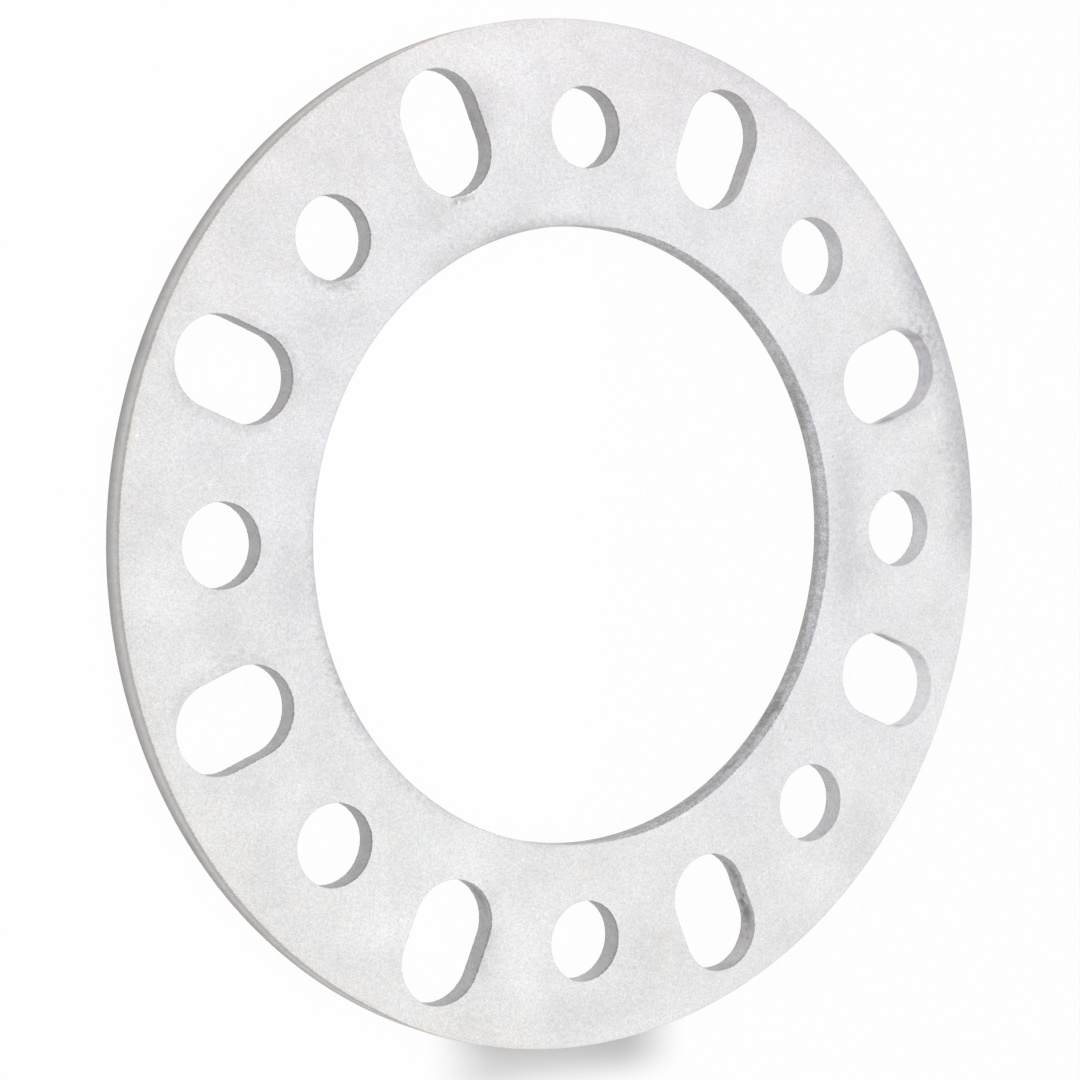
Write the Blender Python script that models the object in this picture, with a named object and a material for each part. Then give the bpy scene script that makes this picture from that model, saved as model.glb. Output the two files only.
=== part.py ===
"""Wheel spacer: a flat aluminium ring that sits between a wheel hub and a wheel.

The ring is turned from one section and bored for the hub's pilot. Eight round stud holes go
through it and, between them, eight radial slots, so the same ring takes studs on several
circles. It lies with its hub face on the ground plane, and the origin is the centre of the
bore on that face. The +X axis runs through the centre of a round hole.
"""

import math

import bmesh
import bpy
from mathutils import Matrix, Vector

# Driving sizes, in metres. The ring is laid out from the bore outwards.
BORE_DIAMETER = 0.1255
BORE_WEB = 0.01155  # metal between the bore and the round holes
HOLE_DIAMETER = 0.0165
SLOT_WIDTH = 0.018
SLOT_TRAVEL = 0.00745  # how far a stud can sit outside the round holes' circle
RIM_WEB = 0.00525  # metal between the slots and the outer edge
THICKNESS = 0.005

# Edges
OUTER_ROUND = 0.0007
BORE_ROUND = 0.0006
HOLE_BREAK = 0.00025
SLOT_BREAK = 0.0003

STUD_COUNT = 8

# Fineness of the round stretches
RING_SEGMENTS = 112
ROUND_SEGMENTS = 3
HALF_HOLE_SEGMENTS = 14
CUT_OVERRUN = 0.001
MERGE_DISTANCE = 0.000001
SMOOTH_ANGLE = math.radians(35)

# Bead-blasted aluminium
ALUMINIUM_COLOUR = (0.78, 0.78, 0.79, 1.0)
ALUMINIUM_ROUGHNESS = 0.55

# Radii that follow: the round holes come out on a 165.1 mm circle, the slots reach out to
# 180 mm, and the ring is 208.5 mm across.
BORE_RADIUS = BORE_DIAMETER / 2
STUD_RADIUS = BORE_RADIUS + BORE_WEB + HOLE_DIAMETER / 2
SLOT_END_RADIUS = STUD_RADIUS + SLOT_TRAVEL
OUTER_RADIUS = SLOT_END_RADIUS + SLOT_WIDTH / 2 + RIM_WEB


def clear_scene():
    """Remove every object that the file starts with."""
    for old in list(bpy.data.objects):
        bpy.data.objects.remove(old, do_unlink=True)


def blasted_aluminium():
    """Return the ring's one material."""
    material = bpy.data.materials.new("blasted_aluminium")
    material.use_nodes = True
    shader = material.node_tree.nodes["Principled BSDF"]
    shader.inputs["Base Color"].default_value = ALUMINIUM_COLOUR
    shader.inputs["Roughness"].default_value = ALUMINIUM_ROUGHNESS
    shader.inputs["Metallic"].default_value = 1.0
    return material


def add_object(name, mesh):
    """Turn the bmesh into an object of the scene, and return it."""
    data = bpy.data.meshes.new(name)
    mesh.to_mesh(data)
    mesh.free()
    made = bpy.data.objects.new(name, data)
    bpy.context.scene.collection.objects.link(made)
    return made


def quarter_round(radius, height, size, start_angle):
    """Return the points of a quarter round, anticlockwise from start_angle.

    radius and height place the round's centre in the ring's section.
    """
    points = []
    for step in range(ROUND_SEGMENTS + 1):
        angle = start_angle + math.pi / 2 * step / ROUND_SEGMENTS
        points.append((radius + size * math.cos(angle), 0.0, height + size * math.sin(angle)))
    return points


def ring_section():
    """Return the ring's section in the XZ plane, anticlockwise from its outer foot."""
    rim = OUTER_RADIUS - OUTER_ROUND
    lip = BORE_RADIUS + BORE_ROUND
    section = quarter_round(rim, OUTER_ROUND, OUTER_ROUND, -math.pi / 2)
    section += quarter_round(rim, THICKNESS - OUTER_ROUND, OUTER_ROUND, 0.0)
    section += quarter_round(lip, THICKNESS - BORE_ROUND, BORE_ROUND, math.pi / 2)
    section += quarter_round(lip, BORE_ROUND, BORE_ROUND, math.pi)
    return section


def turned_ring():
    """Turn the section about the Z axis, and return the ring before its holes are cut."""
    mesh = bmesh.new()
    section = [mesh.verts.new(point) for point in ring_section()]
    edges = [mesh.edges.new(pair) for pair in zip(section, section[1:] + section[:1])]
    bmesh.ops.spin(
        mesh,
        geom=section + edges,
        cent=(0.0, 0.0, 0.0),
        axis=(0.0, 0.0, 1.0),
        angle=2 * math.pi,
        steps=RING_SEGMENTS,
        use_merge=True,
    )
    bmesh.ops.recalc_face_normals(mesh, faces=mesh.faces)
    return add_object("spacer_ring", mesh)


def slot_plan(near, far, half_width, direction):
    """Return the outline of a radial slot with round ends, anticlockwise.

    near and far are the radii of its end centres, and direction is its angle from +X. A slot
    whose end centres meet is a round hole.
    """
    plan = []
    for centre, start in ((far, -math.pi / 2), (near, math.pi / 2)):
        for step in range(HALF_HOLE_SEGMENTS + 1):
            turn = start + math.pi * step / HALF_HOLE_SEGMENTS
            along = centre + half_width * math.cos(turn)
            plan.append(Vector((along, half_width * math.sin(turn))))
    turned = Matrix.Rotation(direction, 2)
    return [turned @ point for point in plan]


def add_cut(mesh, near, far, width, edge_break, direction):
    """Add one closed cutting body: an upright wall that flares at 45 degrees at each face."""
    flare = edge_break + CUT_OVERRUN
    levels = (
        (-CUT_OVERRUN, flare),
        (edge_break, 0.0),
        (THICKNESS - edge_break, 0.0),
        (THICKNESS + CUT_OVERRUN, flare),
    )
    loops = []
    for height, growth in levels:
        plan = slot_plan(near, far, width / 2 + growth, direction)
        loops.append([mesh.verts.new((point.x, point.y, height)) for point in plan])
    for lower, upper in zip(loops, loops[1:]):
        for index in range(len(lower)):
            before = index - 1
            mesh.faces.new((lower[before], lower[index], upper[index], upper[before]))
    mesh.faces.new(reversed(loops[0]))
    mesh.faces.new(loops[-1])


def stud_cutter():
    """Return the object whose bodies cut every round hole and every slot."""
    mesh = bmesh.new()
    pitch = 2 * math.pi / STUD_COUNT
    for stud in range(STUD_COUNT):
        direction = stud * pitch
        add_cut(mesh, STUD_RADIUS, STUD_RADIUS, HOLE_DIAMETER, HOLE_BREAK, direction)
        between = direction + pitch / 2
        add_cut(mesh, STUD_RADIUS, SLOT_END_RADIUS, SLOT_WIDTH, SLOT_BREAK, between)
    bmesh.ops.remove_doubles(mesh, verts=mesh.verts, dist=MERGE_DISTANCE)
    cutter = add_object("stud_cutter", mesh)
    cutter.hide_render = True
    cutter.display_type = "WIRE"
    return cutter


def cut_holes(ring, cutter):
    """Cut the holes and slots through the ring."""
    cut = ring.modifiers.new("stud_holes", "BOOLEAN")
    cut.operation = "DIFFERENCE"
    cut.solver = "EXACT"
    cut.object = cutter
    bpy.context.view_layer.objects.active = ring
    bpy.ops.object.modifier_apply(modifier=cut.name)


def main():
    """Build the wheel spacer."""
    clear_scene()
    ring = turned_ring()
    cut_holes(ring, stud_cutter())
    ring.data.materials.append(blasted_aluminium())
    ring.data.shade_smooth()
    ring.data.set_sharp_from_angle(angle=SMOOTH_ANGLE)


main()
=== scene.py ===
"""Looks of the wheel spacer: a bead-blasted aluminium ring that lies on a white table."""

import logging
import math
from dataclasses import asdict, dataclass, fields
from enum import Enum

import bmesh
import bpy
from mathutils import Matrix, Vector


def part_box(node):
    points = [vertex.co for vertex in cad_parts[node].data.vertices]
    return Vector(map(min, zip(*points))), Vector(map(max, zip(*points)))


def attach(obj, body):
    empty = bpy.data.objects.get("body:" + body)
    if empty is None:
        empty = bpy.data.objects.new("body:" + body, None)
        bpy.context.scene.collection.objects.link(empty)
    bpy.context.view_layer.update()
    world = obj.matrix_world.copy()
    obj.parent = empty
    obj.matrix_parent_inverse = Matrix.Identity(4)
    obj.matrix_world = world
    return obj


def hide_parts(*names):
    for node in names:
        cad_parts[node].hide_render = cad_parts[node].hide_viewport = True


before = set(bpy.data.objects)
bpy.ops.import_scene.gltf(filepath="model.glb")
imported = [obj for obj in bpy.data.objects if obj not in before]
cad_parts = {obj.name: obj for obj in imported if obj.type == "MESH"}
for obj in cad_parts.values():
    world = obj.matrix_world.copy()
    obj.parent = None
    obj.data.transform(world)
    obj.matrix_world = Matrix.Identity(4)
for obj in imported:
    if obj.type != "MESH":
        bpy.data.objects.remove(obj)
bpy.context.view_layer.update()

NODE = "spacer_ring"
BODY = "root"
WALL_ATTRIBUTE = "wall_reach"
MM = 0.001
SEED_STEP = (0.37, 0.61, 0.23)  # how far apart two noises are read, in metres

log = logging.getLogger("wheel_spacer")

Colour = tuple[float, float, float, float]
Place = tuple[float, float, float]
Spot = tuple[float, float]
Pair = tuple[float, ...]
Socket = bpy.types.NodeSocket


def mm(*lengths: float) -> tuple[float, ...]:
    """Return the given millimetres in metres."""
    return tuple(length * MM for length in lengths)


class CutShape(Enum):
    """The kinds of stud opening that go through the ring, with the names of their lips' sizes."""

    ROUND_HOLE = "Hole Lip"
    SLOT = "Slot Lip"
    WORN_SLOT = "Worn Lip"


class Edge(Enum):
    """The kinds of edge that the wheel face ends at."""

    OPENING = "Opening"
    BORE = "Bore"
    RIM = "Rim"


class Stain(Enum):
    """What a mark leaves on the metal, or the light painted on it, as a colour. The finish lists
    the marks by these names.
    """

    GRIME = (0.40, 0.355, 0.315, 1.0)
    SOOT = (0.24, 0.235, 0.24, 1.0)
    SMOKE = (0.43, 0.42, 0.455, 1.0)
    # Lighter marks: partly rubbed metal, partly painted light as glint patches, burr highlights and
    # lighter walls in the east
    RUBBED = (0.93, 0.93, 0.94, 1.0)


class TreeKind(Enum):
    """The kinds of node tree that this script builds."""

    SHADER = "ShaderNodeTree"
    GEOMETRY = "GeometryNodeTree"


class Tree:
    """A node tree with short calls for adding nodes and reading their sockets."""

    def __init__(self, tree: bpy.types.NodeTree) -> None:
        """Keep the tree that the calls work on."""
        self.tree = tree

    def node(self, kind: str, values: dict | None = None, **settings: object) -> bpy.types.Node:
        """Add a node.

        Args:
            kind: The node's type name in Blender.
            values: Input name or index to a value, or to an output socket to link from.
            settings: Properties of the node itself.

        Returns:
            The new node.
        """
        made = self.tree.nodes.new(kind)
        for name, setting in settings.items():
            setattr(made, name, setting)
        for name, value in (values or {}).items():
            self.feed(made.inputs[name], value)
        return made

    def feed(self, socket: Socket, value: object) -> None:
        """Give an input socket a link or a plain value.

        Args:
            socket: The input socket.
            value: An output socket to link from, a plain value, or None to leave the input alone.
        """
        if isinstance(value, bpy.types.NodeSocket):
            self.tree.links.new(value, socket)
        elif value is not None:
            socket.default_value = value

    def shape(
        self, kind: str, settings: dict[str, str] | None = None, **values: object
    ) -> Socket:
        """Add a geometry node.

        Args:
            kind: The node's type name in Blender, after GeometryNode.
            settings: Properties of the node itself.
            values: Its inputs, with an underscore for each space in a name.

        Returns:
            Its first output.
        """
        inputs = {name.replace("_", " "): value for name, value in values.items()}
        return self.node(f"GeometryNode{kind}", inputs, **(settings or {})).outputs[0]

    def joined(self, parts: list[Socket]) -> Socket:
        """Join several pieces of geometry.

        Args:
            parts: The pieces.

        Returns:
            All of them as one.
        """
        made = self.node("GeometryNodeJoinGeometry")
        for part in parts:
            self.tree.links.new(part, made.inputs[0])
        return made.outputs[0]

    def math(self, operation: str, *terms: object, clamp: bool = False) -> Socket:
        """Add a Math node.

        Args:
            operation: The node's operation.
            terms: One to three values or sockets.
            clamp: Whether the result is kept between 0 and 1.

        Returns:
            The result.
        """
        made = self.tree.nodes.new("ShaderNodeMath")
        made.operation = operation
        made.use_clamp = clamp
        for socket, term in zip(made.inputs, terms):
            self.feed(socket, term)
        return made.outputs[0]

    def chain(self, operation: str, terms: tuple[object, ...]) -> Socket:
        """Join two or more terms by the same operation.

        Args:
            operation: The operation of each Math node.
            terms: The values or sockets.

        Returns:
            The result.
        """
        total = terms[0]
        for term in terms[1:]:
            total = self.math(operation, total, term)
        return total

    def times(self, *terms: object) -> Socket:
        """Return the product of two or more terms."""
        return self.chain("MULTIPLY", terms)

    def plus(self, *terms: object) -> Socket:
        """Return the sum of two or more terms."""
        return self.chain("ADD", terms)

    def most(self, *terms: object) -> Socket:
        """Return the largest of two or more terms."""
        return self.chain("MAXIMUM", terms)

    def without(self, mask: Socket) -> Socket:
        """Return one less the mask."""
        return self.math("SUBTRACT", 1.0, mask)

    def vector(self, operation: str, first: object, *others: object) -> Socket:
        """Add a Vector Math node.

        Args:
            operation: The node's operation.
            first: The first vector.
            others: The other vectors, or the factor where the operation is SCALE.

        Returns:
            The vector, or the value, that the node puts out.
        """
        made = self.tree.nodes.new("ShaderNodeVectorMath")
        made.operation = operation
        inputs = [made.inputs["Scale"]] if operation == "SCALE" else made.inputs[1:3]
        self.feed(made.inputs[0], first)
        for socket, other in zip(inputs, others):
            self.feed(socket, other)
        is_value = operation in ("LENGTH", "DISTANCE", "DOT_PRODUCT")
        return made.outputs["Value" if is_value else "Vector"]

    def parts(self, vector: Socket) -> tuple[Socket, Socket, Socket]:
        """Return a vector's X, Y and Z."""
        outputs = self.node("ShaderNodeSeparateXYZ", {"Vector": vector}).outputs
        return outputs["X"], outputs["Y"], outputs["Z"]

    def join(self, x: object = 0.0, y: object = 0.0, z: object = 0.0) -> Socket:
        """Return a vector made of three values."""
        return self.node("ShaderNodeCombineXYZ", {"X": x, "Y": y, "Z": z}).outputs[0]

    def ramp(self, value: object, low: object, high: object) -> Socket:
        """Add a smooth step.

        Args:
            value: The value that it reads.
            low: Where the result is 0.
            high: Where the result is 1, which may be below low.

        Returns:
            A value from 0 to 1.
        """
        values = {"Value": value, "From Min": low, "From Max": high}
        made = self.node("ShaderNodeMapRange", values, interpolation_type="SMOOTHSTEP")
        return made.outputs["Result"]

    def fade(self, value: object, low: object, high: object) -> Socket:
        """Return 1 below the low value, falling smoothly to 0 above the high one."""
        return self.ramp(value, high, low)

    def noise(self, place: Socket, size: object, seed: object = 0.0, detail: float = 1.0) -> Socket:
        """Add a noise.

        Args:
            place: Where it is read.
            size: How far across its spots are, in metres.
            seed: A value that tells one noise from another.
            detail: How many finer noises it holds.

        Returns:
            A value from -1 to 1.
        """
        values = {
            "Vector": self.vector("ADD", place, self.vector("SCALE", SEED_STEP, seed)),
            "Scale": self.math("DIVIDE", 1.0, size),
            "Detail": detail,
        }
        made = self.node("ShaderNodeTexNoise", values)
        return self.math("MULTIPLY_ADD", made.outputs[0], 2.0, -1.0)

    def mix(self, share: object, first: object, second: object) -> Socket:
        """Return a colour that goes from first to second as the share goes from 0 to 1."""
        values = {"Factor": share, "A": first, "B": second}
        return self.node("ShaderNodeMix", values, data_type="RGBA").outputs["Result"]

    def blend(self, share: object, first: object, second: object) -> Socket:
        """Return a value that goes from first to second as the share goes from 0 to 1."""
        values = {"Factor": share, "A": first, "B": second}
        return self.node("ShaderNodeMix", values, data_type="FLOAT").outputs["Result"]

    def group(self, group: bpy.types.NodeTree, **values: object) -> bpy.types.NodeOutputs:
        """Place a node group.

        Args:
            group: The group's tree.
            values: Its inputs, with an underscore for each space in a name.

        Returns:
            The placed group's outputs.
        """
        is_shader = group.bl_idname == TreeKind.SHADER.value
        made = self.tree.nodes.new("ShaderNodeGroup" if is_shader else "GeometryNodeGroup")
        made.node_tree = group
        for name, value in values.items():
            self.feed(made.inputs[name.replace("_", " ")], value)
        return made.outputs


class NewGroup(Tree):
    """A node group under construction, with named inputs and outputs."""

    def __init__(
        self, name: str, inputs: str, outputs: str, kind: TreeKind = TreeKind.SHADER
    ) -> None:
        """Start the group.

        Args:
            name: The group's name.
            inputs: The inputs' names between commas, each with a colon and its type if that
                isn't Float.
            outputs: The same for what the group puts out.
            kind: Whether it is for shading or for geometry.
        """
        super().__init__(bpy.data.node_groups.new(name, kind.value))
        for side, sockets in (("INPUT", inputs), ("OUTPUT", outputs)):
            for entry in sockets.split(", "):
                label, _, kind_name = entry.partition(":")
                self.tree.interface.new_socket(
                    label, in_out=side, socket_type=f"NodeSocket{kind_name or 'Float'}"
                )
        sockets = self.node("NodeGroupInput").outputs
        self.given = {socket.name: socket for socket in sockets if socket.name}
        self.leave = self.node("NodeGroupOutput")

    def close(self, **results: Socket) -> bpy.types.NodeTree:
        """Link the group's outputs.

        Args:
            results: Each output's socket, with an underscore for each space in a name.

        Returns:
            The group's tree.
        """
        for name, result in results.items():
            self.feed(self.leave.inputs[name.replace("_", " ")], result)
        return self.tree


@dataclass(frozen=True)
class RingPlan:
    """The sizes that the ring's outline follows, as the CAD node has them."""

    outer_radius: float
    thickness: float
    bore_radius: float = 62.75 * MM
    stud_radius: float = 82.55 * MM
    hole_radius: float = 8.25 * MM
    slot_radius: float = 9.0 * MM
    slot_travel: float = 7.45 * MM
    stud_count: int = 8


@dataclass(frozen=True)
class Chip:
    """A nick knocked out of an edge of the wheel face."""

    at: Spot
    reach: float
    depth: float


@dataclass
class SpacerRing:
    """The ring: its outline comes from the CAD node, and its edges are finished here."""

    plan: RingPlan
    outer_lip: float = 0.75 * MM
    bore_lip: float = 0.65 * MM
    hole_lip: float = 0.22 * MM
    slot_lip: float = 0.26 * MM
    worn_lip: float = 0.5 * MM
    wave: float = 0.04 * MM
    wave_length: float = 9.0 * MM
    round_burr: float = 0.03 * MM
    cut_burr: float = 0.11 * MM
    burr_length: float = 0.5 * MM
    outer_points: int = 1500
    bore_points: int = 1100
    hole_points: int = 260
    slot_points: int = 330
    lip_steps: int = 4
    merge_distance: float = 0.002 * MM
    chips: tuple[Chip, ...] = (
        Chip(mm(52.8, 89.8), 1.3 * MM, 0.5 * MM),
        Chip(mm(54.6, 88.7), 0.9 * MM, 0.35 * MM),
        Chip(mm(99.8, 26.2), 0.9 * MM, 0.3 * MM),
        Chip(mm(-31.6, 67.2), 0.9 * MM, 0.35 * MM),
        Chip(mm(-28.6, 69.4), 0.9 * MM, 0.3 * MM),
    )

    def wall_group(self) -> bpy.types.NodeTree:
        """Make the group that sweeps a wall with two rounded lips down from an outline.

        Returns:
            The group, whose wall keeps how far each point is round its lip: 0 at the face, 1 on
            the wall.
        """
        inputs = "Outline:Geometry, Lip, Thickness, Steps:Int"
        group = NewGroup("lipped_wall", inputs, "Wall:Geometry", TreeKind.GEOMETRY)
        given = group.given
        steps = given["Steps"]
        line = group.shape("MeshLine", Count=group.math("MULTIPLY_ADD", steps, 2.0, 3.0))
        index = group.shape("InputIndex")
        top_share = group.math("DIVIDE", index, steps, clamp=True)
        past_top = group.math("SUBTRACT", index, steps)
        down = group.math("DIVIDE", past_top, 2.0, clamp=True)
        past_wall = group.math("SUBTRACT", past_top, 2.0)
        foot_share = group.math("DIVIDE", past_wall, steps, clamp=True)
        top_turn = group.times(top_share, math.pi / 2)
        foot_turn = group.times(foot_share, math.pi / 2)
        back = group.without(group.math("COSINE", foot_turn))
        out = group.math("SUBTRACT", group.math("SINE", top_turn), back)
        fall = group.plus(
            group.without(group.math("COSINE", top_turn)), group.math("SINE", foot_turn)
        )
        straight = group.math("SUBTRACT", given["Thickness"], group.times(given["Lip"], 2.0))
        drop = group.plus(group.times(fall, given["Lip"]), group.times(straight, down))
        place = group.join(group.times(out, given["Lip"]), drop)
        marked = group.shape(
            "StoreNamedAttribute",
            {"data_type": "FLOAT", "domain": "POINT"},
            Geometry=group.shape("SetPosition", Geometry=line, Position=place),
            Name=WALL_ATTRIBUTE,
            Value=group.times(top_share, group.without(foot_share)),
        )
        profile = group.shape("MeshToCurve", Mesh=marked)
        return group.close(
            Wall=group.shape("CurveToMesh", Curve=given["Outline"], Profile_Curve=profile)
        )

    def uneven_group(self) -> bpy.types.NodeTree:
        """Make the group that moves an outline a little, as a cut and blasted edge does.

        Returns:
            The group.
        """
        inputs = "Outline:Geometry, Wave, Wave Length, Burr, Burr Length, Seed"
        group = NewGroup("uneven_outline", inputs, "Outline:Geometry", TreeKind.GEOMETRY)
        given = group.given
        upright = group.shape("SetCurveNormal", {"mode": "Z_UP"}, Curve=given["Outline"])
        place = group.shape("InputPosition")
        wave = group.noise(place, given["Wave Length"], given["Seed"], detail=2.0)
        burr = group.noise(place, given["Burr Length"], given["Seed"], detail=2.0)
        push = group.plus(group.times(wave, given["Wave"]), group.times(burr, given["Burr"]))
        offset = group.vector("SCALE", group.shape("InputNormal"), push)
        return group.close(Outline=group.shape("SetPosition", Geometry=upright, Offset=offset))

    def opening_outlines(self, tree: NewGroup, shape: CutShape) -> Socket:
        """Make the outlines of all openings of one shape, wound the other way to the rim.

        Args:
            tree: The ring's tree.
            shape: Which of the openings to make.

        Returns:
            The outlines, as separate splines of one curve.
        """
        given = tree.given
        is_hole = shape is CutShape.ROUND_HOLE
        radius = tree.plus(given["Hole Radius" if is_hole else "Slot Radius"], given[shape.value])
        outline = self.circle(tree, "Hole Points", radius)
        pitch = tree.math("DIVIDE", 2 * math.pi, given["Stud Count"])
        index = tree.shape("InputIndex")
        turn = tree.times(index, pitch)
        chosen = None
        if not is_hole:
            outline = self.stretched(tree, outline)
            turn = tree.math("MULTIPLY_ADD", pitch, 0.5, turn)
            # The worn slots are the first and the last.
            last = tree.math("SUBTRACT", given["Stud Count"], 1.5)
            chosen = tree.plus(
                tree.math("LESS_THAN", index, 0.5), tree.math("GREATER_THAN", index, last)
            )
            if shape is CutShape.SLOT:
                chosen = tree.without(chosen)
        across = tree.times(tree.math("COSINE", turn), given["Stud Radius"])
        along = tree.times(tree.math("SINE", turn), given["Stud Radius"])
        studs = tree.shape("MeshLine", Count=given["Stud Count"])
        copies = tree.shape(
            "InstanceOnPoints",
            Points=tree.shape("SetPosition", Geometry=studs, Position=tree.join(across, along)),
            Selection=chosen,
            Instance=tree.shape("ReverseCurve", Curve=outline),
            Rotation=tree.join(z=turn),
        )
        return tree.shape("RealizeInstances", Geometry=copies)

    def stretched(self, tree: NewGroup, circle: Socket) -> Socket:
        """Pull a circle out along +X into a slot with round ends.

        Args:
            tree: The ring's tree.
            circle: The circle's curve.

        Returns:
            The slot's outline, with its points evenly spaced.
        """
        x = tree.parts(tree.shape("InputPosition"))[0]
        ahead = tree.math("GREATER_THAN", x, tree.given["Merge Distance"])
        shift = tree.join(tree.times(ahead, tree.given["Slot Travel"]))
        moved = tree.shape("SetPosition", Geometry=circle, Offset=shift)
        return tree.shape("ResampleCurve", Curve=moved, Count=tree.given["Slot Points"])

    def circle(self, tree: NewGroup, points: str, radius: Socket) -> Socket:
        """Return a circle of the given radius with the given input's number of points."""
        return tree.shape("CurvePrimitiveCircle", Resolution=tree.given[points], Radius=radius)

    def sizes(self, material: bpy.types.Material) -> dict[str, tuple[str, object]]:
        """List the ring tree's inputs: every plain size of the plan and of the ring.

        Args:
            material: The finish that the tree sets.

        Returns:
            Each input's name, with its type and value.
        """
        listed = {"Finish": ("Material", material)}
        kinds = {float: "Float", int: "Int"}
        for part in (self.plan, self):
            for size in fields(part):
                value = getattr(part, size.name)
                if type(value) in kinds:
                    listed[size.name.replace("_", " ").title()] = (kinds[type(value)], value)
        return listed

    def outlines(self, tree: NewGroup) -> list[tuple[Socket, str, str]]:
        """Make every outline of the wheel face.

        Args:
            tree: The ring's tree.

        Returns:
            Each outline's curve, with the names of the inputs for its lip and its burr.
        """
        given = tree.given
        slack = tree.plus(given["Outer Lip"], given["Wave"], given["Round Burr"])
        rim_radius = tree.math("SUBTRACT", given["Outer Radius"], slack)
        bore_radius = tree.plus(given["Bore Radius"], given["Bore Lip"])
        bore = tree.shape("ReverseCurve", Curve=self.circle(tree, "Bore Points", bore_radius))
        found = [
            (self.circle(tree, "Outer Points", rim_radius), "Outer Lip", "Round Burr"),
            (bore, "Bore Lip", "Round Burr"),
        ]
        for shape in CutShape:
            burr = "Round Burr" if shape is CutShape.WORN_SLOT else "Cut Burr"
            found.append((self.opening_outlines(tree, shape), shape.value, burr))
        return found

    def ring_tree(self, inputs: str) -> bpy.types.NodeTree:
        """Make the tree that builds the whole ring from its outlines.

        Args:
            inputs: The names and types of the tree's inputs.

        Returns:
            The tree, which ends in Realize Instances and Set Material.
        """
        tree = NewGroup("spacer_ring", inputs, "Geometry:Geometry", TreeKind.GEOMETRY)
        given = tree.given
        uneven, wall = self.uneven_group(), self.wall_group()
        outlines, shells = [], []
        for seed, (outline, lip, burr) in enumerate(self.outlines(tree)):
            lengths = {name: given[name] for name in ("Wave", "Wave Length", "Burr Length")}
            moved = tree.group(
                uneven, Outline=outline, Burr=given[burr], Seed=float(seed), **lengths
            )[0]
            size = {"Thickness": given["Thickness"], "Steps": given["Lip Steps"]}
            swept = tree.group(wall, Outline=moved, Lip=given[lip], **size)[0]
            outlines.append(moved)
            shells.append(swept)
        wheel_face = tree.shape("FillCurve", Curve=tree.joined(outlines))
        depth = tree.join(z=tree.times(given["Thickness"], -1.0))
        hub_face = tree.shape("Transform", Geometry=wheel_face, Translation=depth)
        closed = tree.shape(
            "MergeByDistance",
            Geometry=tree.joined([*shells, wheel_face, hub_face]),
            Distance=given["Merge Distance"],
        )
        height = tree.join(z=given["Thickness"])
        raised = tree.shape("Transform", Geometry=closed, Translation=height)
        real = tree.shape("RealizeInstances", Geometry=raised)
        dressed = tree.shape("SetMaterial", Geometry=real, Material=given["Finish"])
        return tree.close(Geometry=dressed)

    def build(self, material: bpy.types.Material) -> bpy.types.Object:
        """Make the ring's mesh.

        Args:
            material: The finish that the tree sets on every face.

        Returns:
            The ring as a plain mesh object at the origin.
        """
        sizes = self.sizes(material)
        tree = self.ring_tree(", ".join(f"{name}:{kind}" for name, (kind, _) in sizes.items()))
        carrier = bpy.data.objects.new("ring_carrier", bpy.data.meshes.new("ring_carrier"))
        bpy.context.scene.collection.objects.link(carrier)
        modifier = carrier.modifiers.new("outline", "NODES")
        modifier.node_group = tree
        for item in tree.interface.items_tree:
            if item.in_out == "INPUT":
                modifier[item.identifier] = sizes[item.name][1]
        bpy.context.view_layer.update()
        depsgraph = bpy.context.evaluated_depsgraph_get()
        data = bpy.data.meshes.new_from_object(carrier.evaluated_get(depsgraph))
        carrier.modifiers.remove(modifier)
        bpy.data.objects.remove(carrier)
        data.name = "blasted_ring"
        self.finish_edges(data)
        ring = bpy.data.objects.new("blasted_ring", data)
        bpy.context.scene.collection.objects.link(ring)
        return ring

    def finish_edges(self, data: bpy.types.Mesh) -> None:
        """Turn the faces outwards, knock the chips in and shade the lips smooth.

        Args:
            data: The ring's mesh.
        """
        mesh = bmesh.new()
        mesh.from_mesh(data)
        bmesh.ops.recalc_face_normals(mesh, faces=mesh.faces)
        for chip in self.chips:
            self.knock(mesh, chip)
        open_edges = sum(1 for edge in mesh.edges if not edge.is_manifold)
        log.info("ring mesh: %d faces, %d open edges", len(mesh.faces), open_edges)
        mesh.to_mesh(data)
        mesh.free()
        data.shade_smooth()
        data.normals_split_custom_set(self.corner_normals(data))

    def knock(self, mesh: bmesh.types.BMesh, chip: Chip) -> None:
        """Press one chip into the edge, square to the surface that it hits.

        Args:
            mesh: The ring's mesh.
            chip: The chip.
        """
        centre = Vector((*chip.at, self.plan.thickness))
        for vertex in mesh.verts:
            away = (vertex.co - centre).length / chip.reach
            if away < 1.0:
                vertex.co -= vertex.normal * chip.depth * (1.0 - away * away) ** 2

    def corner_normals(self, data: bpy.types.Mesh) -> list[Vector]:
        """Work out normals that keep the two faces flat right up to their lips.

        Args:
            data: The ring's mesh, shaded smooth.

        Returns:
            A normal for each face corner.
        """
        level = 0.999
        upright = {}
        for face in data.polygons:
            if abs(face.normal.z) > level:
                for vertex in face.vertices:
                    upright[vertex] = Vector((0.0, 0.0, math.copysign(1.0, face.normal.z)))
        vertices = data.vertices
        return [
            upright.get(loop.vertex_index, vertices[loop.vertex_index].normal)
            for loop in data.loops
        ]


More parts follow.
